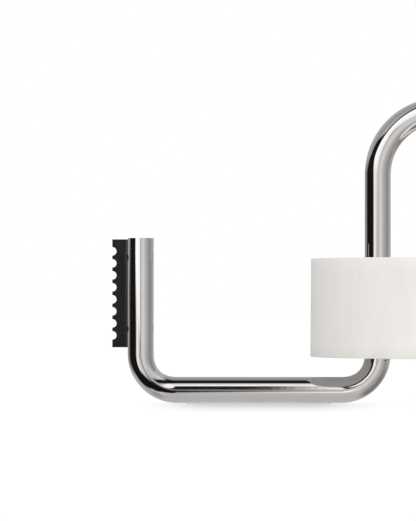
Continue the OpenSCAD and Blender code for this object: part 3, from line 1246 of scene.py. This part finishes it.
def makeWorld():
    world = bpy.data.worlds.new("studio")
    bpy.context.scene.world = world
    world.use_nodes = True
    tree = world.node_tree
    tree.nodes.clear()
    coord = tree.nodes.new("ShaderNodeTexCoord")
    split = tree.nodes.new("ShaderNodeSeparateXYZ")
    tree.links.new(coord.outputs["Generated"], split.inputs["Vector"])
    x, y, z = (split.outputs[k] for k in "XYZ")
    towards = times(tree, y, -1.0)
    cards = angleRamp(tree, tiltedAngle(tree, x, z, towards, 0), levelCards)
    shares = tree.nodes.new("ShaderNodeSeparateColor")
    tree.links.new(angleRamp(tree, mathNode(tree, "ARCTAN2", z, x), turnShares), shares.inputs["Color"])
    turned = (("Red", 135, risingCards), ("Green", 90, uprightCards), ("Blue", 45, fallingCards))
    for channel, degrees, stops in turned:
        other = angleRamp(tree, tiltedAngle(tree, x, z, towards, degrees), stops)
        cards = mixColour(tree, shares.outputs[channel], cards, other)
    black = tree.nodes.new("ShaderNodeRGB")
    black.outputs["Color"].default_value = (0.008, 0.008, 0.008, 1)
    cards = mixColour(tree, darkShare(tree, x, z, towards), cards, black.outputs["Color"])
    sideways = plus(tree, times(tree, x, 0.5), 0.5)
    height = plus(tree, times(tree, z, 0.5), 0.5)
    tint = ramp(tree, height, [(0.5, studio["warm"]), (0.75, studio["plain"])])
    mirrorLight = tree.nodes.new("ShaderNodeBackground")
    tree.links.new(mixColour(tree, 1.0, cards, tint, "MULTIPLY"), mirrorLight.inputs["Color"])
    soft = ramp(tree, sideways, softAcross)
    lift = ramp(tree, height, softUpwards)
    softLight = tree.nodes.new("ShaderNodeBackground")
    tree.links.new(mixColour(tree, 1.0, soft, lift, "MULTIPLY"), softLight.inputs["Color"])
    backdrop = tree.nodes.new("ShaderNodeBackground")
    backdrop.inputs["Color"].default_value = (1, 1, 1, 1)
    path = tree.nodes.new("ShaderNodeLightPath")
    first = tree.nodes.new("ShaderNodeMixShader")
    tree.links.new(path.outputs["Is Glossy Ray"], first.inputs["Fac"])
    tree.links.new(softLight.outputs["Background"], first.inputs[1])
    tree.links.new(mirrorLight.outputs["Background"], first.inputs[2])
    second = tree.nodes.new("ShaderNodeMixShader")
    tree.links.new(path.outputs["Is Camera Ray"], second.inputs["Fac"])
    tree.links.new(first.outputs["Shader"], second.inputs[1])
    tree.links.new(backdrop.outputs["Background"], second.inputs[2])
    out = tree.nodes.new("ShaderNodeOutputWorld")
    tree.links.new(second.outputs["Shader"], out.inputs["Surface"])


def makeFloor():
    half = studio["floorHalf"]
    mesh = bpy.data.meshes.new("floor")
    corners = [(-half, -half, 0), (half, -half, 0), (half, half, 0), (-half, half, 0)]
    mesh.from_pydata(corners, [], [(0, 1, 2, 3)])
    obj = linkObject("floor", mesh)
    material, tree, shader = startMaterial("floorWhite", 0.0, 0.9)
    tone = studio["floorTone"]
    shader.inputs["Base Color"].default_value = (tone, tone, tone, 1)
    shader.inputs["Specular IOR Level"].default_value = 0.0
    split = objectParts(tree)
    middle = (postX - tube["legX"]) / 2
    reach = (-tube["legX"] - postX) / 2 - studio["poolShort"]
    offMiddle = mathNode(tree, "ABSOLUTE", minus(tree, split.outputs["X"], middle))
    past = mathNode(tree, "MAXIMUM", minus(tree, offMiddle, reach), 0.0)
    past = times(tree, past, studio["poolEnds"])
    # painted shadow: the floor's glow is dimmed in a pool in front of the rod that stops soon behind it
    front = times(tree, split.outputs["Y"], -1.0)
    behind = times(tree, split.outputs["Y"], studio["poolBehind"])
    deep = mathNode(tree, "MAXIMUM", front, behind)
    away = rootOfSquares(tree, past, deep)
    pooled, clear = studio["paintedShadowGlow"], studio["floorGlow"]
    # painted shadow: glow lowest next to the rod, rising to the floor's even glow away from it
    glow = ramp(tree, times(tree, away, studio["poolSpread"]), [
        (0.0, pooled), (0.14, pooled + 0.03), (0.4, clear - 0.1), (0.66, clear)])
    tree.links.new(glow, shader.inputs["Emission Color"])
    shader.inputs["Emission Strength"].default_value = 1.0
    mesh.materials.append(material)
    obj.visible_glossy = False
    obj.visible_diffuse = False


def reflectedCard(name, rows, shade):
    # a card met by reflections only: rows are pairs of points across it, shade makes its brightness
    mesh = bpy.data.meshes.new(name)
    mesh.from_pydata([p for row in rows for p in row], [],
                     [(2 * i, 2 * i + 2, 2 * i + 3, 2 * i + 1) for i in range(len(rows) - 1)])
    obj = linkObject(name, mesh)
    material, tree, shader = startMaterial(name + "Shade", 0.0, 1.0)
    shader.inputs["Base Color"].default_value = (0, 0, 0, 1)
    shader.inputs["Specular IOR Level"].default_value = 0.0
    split = objectParts(tree)
    tree.links.new(shade(tree, split), shader.inputs["Emission Color"])
    shader.inputs["Emission Strength"].default_value = 1.0
    mesh.materials.append(material)
    obj.visible_camera = False
    obj.visible_diffuse = False
    obj.visible_transmission = False
    obj.visible_shadow = False


# strips under the roll as rows across it: place, front end, back end, in millimetres
underBlack = [
    (-49, -42, -41), (-47.7, -43, -28), (-46.6, -36, -18), (-44.8, -26, -11), (-39.8, -19, -8),
    (-33, -13, -7),
]
underWhite = [
    (-47, -43.5, -37), (-46.2, -44, -34), (-44.8, -46, -26.2), (-39.8, -50, -19.2), (-33, -55, -13.2),
]


def makeCards():
    low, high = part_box("tape_winding")
    radius = high.y + 0.6 * mm

    def around(degrees, z):
        a = math.radians(degrees)
        return (radius * math.cos(a), radius * math.sin(a), z)

    # grey, bent round the roll's left side, for the post
    reflectedCard("sideCard", [(around(100 + 160 * i / 48, low.z), around(100 + 160 * i / 48, high.z))
                               for i in range(49)],
                  lambda tree, split: ramp(tree, plus(tree, mathNode(
                      tree, "MULTIPLY", split.outputs["Y"], 7.0), 0.5),
                      [(0.08, 0.46), (0.3, 0.34), (0.5, 0.27), (0.9, 0.4)]))
    # black, then white, lying close under the roll, for the bend below
    under = low.z - 0.1 * mm
    for name, strip, tone in (("underBlack", underBlack, 0.01), ("underWhite", underWhite, 1.05)):
        reflectedCard(name, [((x * mm, y0 * mm, under), (x * mm, y1 * mm, under)) for x, y0, y1 in strip],
                      lambda tree, split: ramp(tree, split.outputs["Z"], [(0.0, tone), (1.0, tone)]))
    # white, before the arch
    archX = -tube["legX"]
    reflectedCard("archCard", [((archX + x, -62 * mm, 141 * mm), (archX + x, -62 * mm, 225 * mm))
                               for x in (-6 * mm, 60 * mm)],
                  lambda tree, split: ramp(tree, times(tree, split.outputs["Z"], 4.0),
                                           [(0.57, 0.85), (0.61, 1.05), (0.68, 1.2), (0.9, 1.2)]))


def makeCamera():
    data = bpy.data.cameras.new("camera")
    data.sensor_width = 36.0
    data.lens = 221.1
    data.shift_y = 35.1 / 521
    data.clip_end = 50.0
    obj = bpy.data.objects.new("camera", data)
    bpy.context.scene.collection.objects.link(obj)
    obj.location = (-114.5 * mm, -1565 * mm, 52.9 * mm)
    obj.rotation_euler = (math.radians(90), 0, 0)
    bpy.context.scene.camera = obj


makeWorld()
makeFloor()
makeCards()
makeCamera()
bpy.context.scene.view_settings.view_transform = "Standard"
print("stage: studio set")
